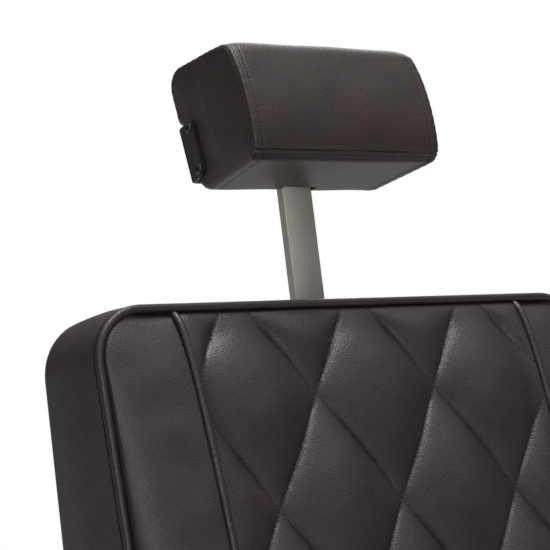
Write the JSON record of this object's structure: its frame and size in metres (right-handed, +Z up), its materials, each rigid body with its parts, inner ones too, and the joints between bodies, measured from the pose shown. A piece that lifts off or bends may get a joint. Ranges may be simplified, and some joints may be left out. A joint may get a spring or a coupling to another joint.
{
  "type": "threading chair",
  "caption": "Salon threading chair with a round hydraulic swivel base, diamond-quilted seat and reclining back, padded arms, flip-up foot plate and a tilting headrest on a flat steel bar.",
  "frame": {"origin": "centre of the floor pad's underside, on the pump's axis at floor level", "axes": "+Z up along the pump, -Y the way the sitter faces, +X to the sitter's left"},
  "size_m": [0.732, 0.9697, 1.2588],
  "materials": {
    "rubber_pad": "matte",
    "black_steel": "satin",
    "dish_steel": "satin",
    "chrome": "polished",
    "bar_steel": "satin",
    "tube_steel": "satin",
    "bolt_steel": "satin",
    "bronze": "satin",
    "plywood": "matte",
    "stained_plywood": "matte",
    "faux_leather": "satin",
    "piping": "satin",
    "black_plastic": "satin"
  },
  "bodies": {
    "base": {"floor_pad": "rubber_pad", "base_plate": "black_steel", "base_cover": "dish_steel", "pump_housing": "chrome", "pump_gland": "black_steel", "pump_bolts": "bolt_steel", "pedal_bracket": "black_steel", "pedal_pin": "bolt_steel"},
    "pedal": {"pedal_arm": "chrome", "pedal_pad": "rubber_pad"},
    "piston": {"piston_head": "black_steel", "piston_rod": "chrome", "thrust_washer": "bronze"},
    "seat": {"swivel_hub": "black_steel", "hub_bolts": "bolt_steel", "seat_rail_left": "black_steel", "seat_rail_right": "black_steel", "rail_caps": "black_plastic", "cross_members": "black_steel", "frame_screws": "bolt_steel", "hinge_brackets": "black_steel", "recline_shaft": "bolt_steel", "shaft_collars": "bolt_steel", "friction_washers": "bronze", "seat_board": "stained_plywood", "seat_core": "faux_leather", "seat_quilt": "faux_leather", "seat_bands": "faux_leather", "seat_pipings": "piping", "arm_frame_left": "tube_steel", "arm_frame_right": "tube_steel", "arm_pad_boards": "black_plastic", "arm_pads": "faux_leather", "foot_tubes": "tube_steel", "foot_shaft": "bolt_steel"},
    "foot": {"foot_plate": "tube_steel", "foot_mat": "rubber_pad"},
    "lever": {"recline_lever": "chrome", "lever_grip": "rubber_pad"},
    "back": {"back_upright_left": "black_steel", "back_upright_right": "black_steel", "back_cross_bars": "black_steel", "back_board": "plywood", "back_screws": "bolt_steel", "back_core": "faux_leather", "back_quilt": "faux_leather", "back_bands": "faux_leather", "back_pipings": "piping", "back_panel": "faux_leather", "bar_sleeve": "black_steel", "slot_collar": "black_plastic"},
    "knob": {"clamp_screw": "bolt_steel", "clamp_knob": "black_plastic"},
    "bar": {"head_bar": "bar_steel"},
    "head": {"head_hinge_pin": "bolt_steel", "head_bracket": "black_steel", "head_screws": "black_steel", "head_board": "plywood", "head_cushion": "faux_leather"}
  },
  "joints": [
    {"name": "pedal_press", "type": "hinge", "parent": "base", "child": "pedal", "pos_m": [0, 0.058, 0.08], "axis": [-1, 0, 0], "range_deg": [0, 12], "stiffness_Nm_per_rad": 15, "springref_deg": -8.59},
    {"name": "seat_lift", "type": "slide", "parent": "base", "child": "piston", "axis": [0, 0, 1], "range_m": [0, 0.15]},
    {"name": "seat_swivel", "type": "hinge", "parent": "piston", "child": "seat", "pos_m": [0, 0, 0.264], "axis": [0, 0, 1], "continuous": true},
    {"name": "foot_flip", "type": "hinge", "parent": "seat", "child": "foot", "pos_m": [0, -0.368, 0.22005], "axis": [-1, 0, 0], "range_deg": [0, 90]},
    {"name": "lever_turn", "type": "hinge", "parent": "seat", "child": "lever", "pos_m": [-0.308, 0.24527, 0.4052], "axis": [-1, 0, 0], "range_deg": [0, 50]},
    {"name": "back_recline", "type": "hinge", "parent": "seat", "child": "back", "pos_m": [0, 0.24527, 0.4052], "axis": [-1, 0, 0], "range_deg": [0, 40]},
    {"name": "clamp_turn", "type": "hinge", "parent": "back", "child": "knob", "pos_m": [0, 0.38689, 0.94593], "axis": [0, 0.9796, -0.2011], "range_deg": [0, 180]},
    {"name": "bar_slide", "type": "slide", "parent": "back", "child": "bar", "axis": [0, 0.2011, 0.9796], "range_m": [-0.09, 0.06]},
    {"name": "head_tilt", "type": "hinge", "parent": "bar", "child": "head", "pos_m": [0, 0.39681, 1.16337], "axis": [1, 0, 0], "range_deg": [-30, 5]}
  ]
}
